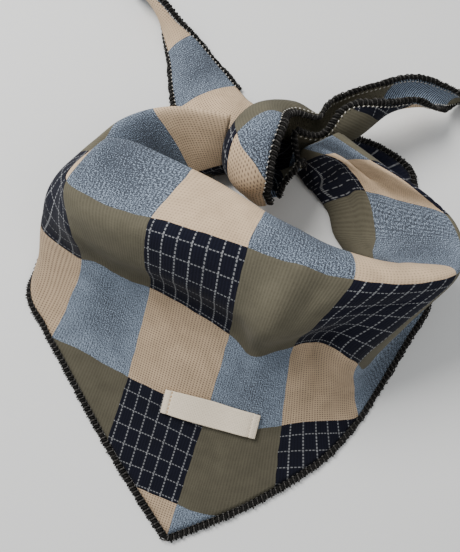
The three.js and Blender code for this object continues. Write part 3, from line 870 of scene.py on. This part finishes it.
def label_places(along, across):
    """Places on the bib under the label, found from above, with the way out of the cloth."""
    sizes = scarf_sizes()
    turn = math.radians(LABEL_TURN)
    centre = np.array(LABEL_PLACE) * shares()[:2]
    target = centre + np.column_stack([along * math.cos(turn) - across * math.sin(turn),
                                       along * math.sin(turn) + across * math.cos(turn)])
    # Start at section 9 and guide line 7, on the bib, and step closer by the slopes there.
    count, place = np.full(len(along), 9.0), np.full(len(along), 7.0)
    small = 0.01
    for _ in range(8):
        here = band_surface(count, place)[:, :3]
        by_count = (band_surface(count + small, place)[:, :3] - here) / small
        by_place = (band_surface(count, place + small)[:, :3] - here) / small
        miss = target - here[:, :2]
        cross = by_count[:, 0] * by_place[:, 1] - by_count[:, 1] * by_place[:, 0]
        count = count + (miss[:, 0] * by_place[:, 1] - miss[:, 1] * by_place[:, 0]) / cross
        place = place + (miss[:, 1] * by_count[:, 0] - miss[:, 0] * by_count[:, 1]) / cross
    out = unit(np.cross(by_count, by_place))
    out *= np.where(out[:, 2:] < 0, -1, 1)
    return band_surface(count, place)[:, :3], out


def label_surface(count, share):
    """The tape's middle: sewn down at its folded ends and slightly raised between them."""
    sizes = scarf_sizes()
    along = (count - 0.5) * sizes.label_length
    across = (share - 0.5) * sizes.label_width * (1 - 0.05 * np.cos(2 * math.pi * count))
    place, out = label_places(along, across)
    near_end = np.abs(count - 0.5) * 2
    bow = LABEL_BOW * (1 - near_end ** 4) + LABEL_WAVER * np.sin(9 * count + 2 * share)
    folded = LABEL_FOLD * (near_end > FOLD_SHARE)
    groove = LABEL_GROOVE * np.exp(-((near_end - SEAM_SHARE) / SEAM_WIDTH) ** 2)
    rest = (sizes.cloth + sizes.label_thickness) / 2 + sizes.label_lift
    lift = rest + (bow + folded - groove) * MM
    uv = np.column_stack([along, across]) / MM
    return np.column_stack([place + out * lift[:, None], uv])


class SCARF_OT_hems(Operator):
    """Overlocked hems of the band, the bib and both tie ends"""
    bl_idname = "scarf.hems"
    bl_label = "Overlocked hems"

    def execute(self, context):
        colours = scarf_colours()
        core = spun_polyester_thread("overlocked_cloth_edge", colours.thread, 0.3)
        # The upper looper's thread is seven times as light, so it looks a worn grey.
        upper = spun_polyester_thread("upper_looper_thread", [v * 7 for v in colours.thread], 0.15)
        lower = spun_polyester_thread("lower_looper_thread", colours.thread, 0.4)
        needle = spun_polyester_thread("needle_thread", colours.needle, 0.6)
        over, under = over_surface(), under_surface()
        last, last_over, last_under = map(last_count, (SECTIONS, OVER_KNOT, UNDER_KNOT))
        # CAD node, surface, first and last count, place across, and a step in from there.
        for node_name, surface, first, last, edge, inward in (
                ("bib_hem", band_surface, 0, last, HEM_GUIDE, -1 / 3),
                ("neck_edge_hem", band_surface, 0, last, 0, 1 / 3),
                ("right_tail_upper_hem", over, 0, last_over, 0, 1 / 14),
                ("right_tail_lower_hem", over, 0, last_over, 1, -1 / 14),
                ("left_tail_right_hem", under, UNDER_HEMS_START, last_under, 0, 1 / 14),
                ("left_tail_left_hem", under, UNDER_HEMS_START, last_under, 1, -1 / 14)):
            hem = overlocked_hem(node_name + "_stitched", surface, first, last, edge, inward)
            # The long hems' loops are dull; those of the tie ends stand out pale.
            loops = needle if "tail" in node_name else upper
            for material in (core, upper, lower, loops):
                hem.data.materials.append(material)
            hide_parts(node_name)
            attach(hem, "root")
        return {"FINISHED"}


class SCARF_OT_label(Operator):
    """The bare cotton label, folded under and sewn down at its two ends"""
    bl_idname = "scarf.label"
    bl_label = "Sewn label"

    def execute(self, context):
        sizes, colours = scarf_sizes(), scarf_colours()
        label = cloth_object("cotton_label", ((label_surface, 1, 1, 98, 24, False),))
        label.data.materials.append(cotton_tape())
        thicken(label, sizes.label_thickness, 0)
        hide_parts("sewn_label")
        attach(label, "root")
        for name, side, value in (("label_stitches_left", -1, colours.tan),
                                  ("label_stitches_right", 1, colours.tape)):
            stitches = label_stitches(name, side)
            stitches.data.materials.append(spun_polyester_thread(name + "_thread", value, 0.7))
            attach(stitches, "root")
        return {"FINISHED"}


def label_stitches(name, side):
    """A row of lockstitches in the seam just inside the folded end, sunk at their ends."""
    shell = bmesh.new()
    steps, margin = 7, 0.14  # points along each stitch, and the gap at either end of it
    half_wide, half_high = 0.28 * MM, 0.22 * MM
    on_tape = scarf_sizes().label_thickness / 2 + 0.12 * MM
    sunk = on_tape - 0.35 * MM * np.abs(np.linspace(-1, 1, steps)) ** 3
    upright = np.tile((0, 0, 1.0), (steps, 1))
    count = np.full(steps, 0.5 + side * SEAM_SHARE / 2)
    for i in range(LABEL_STITCHES):
        share = np.linspace(i + margin, i + 1 - margin, steps) / LABEL_STITCHES
        points = label_surface(count, share)[:, :3] + table_to_frame()
        across = unit(np.cross(unit(np.gradient(points, axis=0)), upright))
        points = points + upright * sunk[:, None]
        tube(shell, points, across * half_wide, upright * half_high, sides=6, material=0)
    return finished(name, shell)


class SCARF_OT_stage(Operator):
    """Table top, soft window light and the camera"""
    bl_idname = "scarf.stage"
    bl_label = "Table, light and camera"

    def execute(self, context):
        shell = bmesh.new()
        bmesh.ops.create_grid(shell, x_segments=2, y_segments=2, size=TABLE_HALF)
        table = finished("table_top", shell)
        table.data.materials.append(matt_table_top())
        place_camera()
        place_lights()
        return {"FINISHED"}


def place_camera():
    """The camera's lens and stance follow the photograph."""
    elevation = math.radians(CAMERA_DOWN)
    lens = bpy.data.cameras.new("photo_view")
    lens.lens = CAMERA_LENS
    lens.clip_start = 10 * MM
    camera = bpy.data.objects.new("photo_view", lens)
    bpy.context.collection.objects.link(camera)
    target = Vector(table_to_frame())
    back = Vector((0, -math.cos(elevation), math.sin(elevation)))
    camera.location = target + back * CAMERA_AWAY * MM
    camera.rotation_euler = (math.pi / 2 - elevation, 0, 0)
    bpy.context.scene.camera = camera


def place_lights():
    """A pale room, with a window at the upper left and a weak fill opposite."""
    world = bpy.data.worlds.new("soft_room")
    world.use_nodes = True
    background = world.node_tree.nodes["Background"]
    background.inputs["Color"].default_value = ROOM_TINT
    background.inputs["Strength"].default_value = ROOM_STRENGTH
    bpy.context.scene.world = world
    for name, where, width, power, tint in LAMPS:
        light = bpy.data.lights.new(name, "AREA")
        light.shape = "DISK"
        light.size = width
        light.energy = power
        light.color = tint
        lamp = bpy.data.objects.new(name, light)
        lamp.location = where
        lamp.rotation_euler = (-Vector(where)).to_track_quat("-Z", "Y").to_euler()
        bpy.context.collection.objects.link(lamp)


class SCARF_PT_panel(Panel):
    """Lists the scarf's pieces, sizes and colours"""
    bl_idname = "SCARF_PT_panel"
    bl_label = "Patchwork Scarf"
    bl_space_type = "VIEW_3D"
    bl_region_type = "UI"
    bl_category = "Scarf"

    def draw(self, context):
        layout = self.layout
        for operator in OPERATORS:
            layout.operator(operator.bl_idname)
        for group in (context.scene.scarf_sizes, context.scene.scarf_colours):
            box = layout.box()
            for name in group.__annotations__:
                box.prop(group, name)


OPERATORS = (SCARF_OT_stage, SCARF_OT_cloth, SCARF_OT_hems, SCARF_OT_label)
CLASSES = (ScarfSizes, ScarfColours, *OPERATORS, SCARF_PT_panel)


def register():
    for cls in CLASSES:
        bpy.utils.register_class(cls)
    bpy.types.Scene.scarf_sizes = PointerProperty(type=ScarfSizes)
    bpy.types.Scene.scarf_colours = PointerProperty(type=ScarfColours)


def unregister():
    del bpy.types.Scene.scarf_colours
    del bpy.types.Scene.scarf_sizes
    for cls in reversed(CLASSES):
        bpy.utils.unregister_class(cls)


def main():
    register()
    bpy.ops.scarf.stage()
    bpy.ops.scarf.cloth()
    bpy.ops.scarf.hems()
    bpy.ops.scarf.label()


if __name__ == "__main__":
    main()
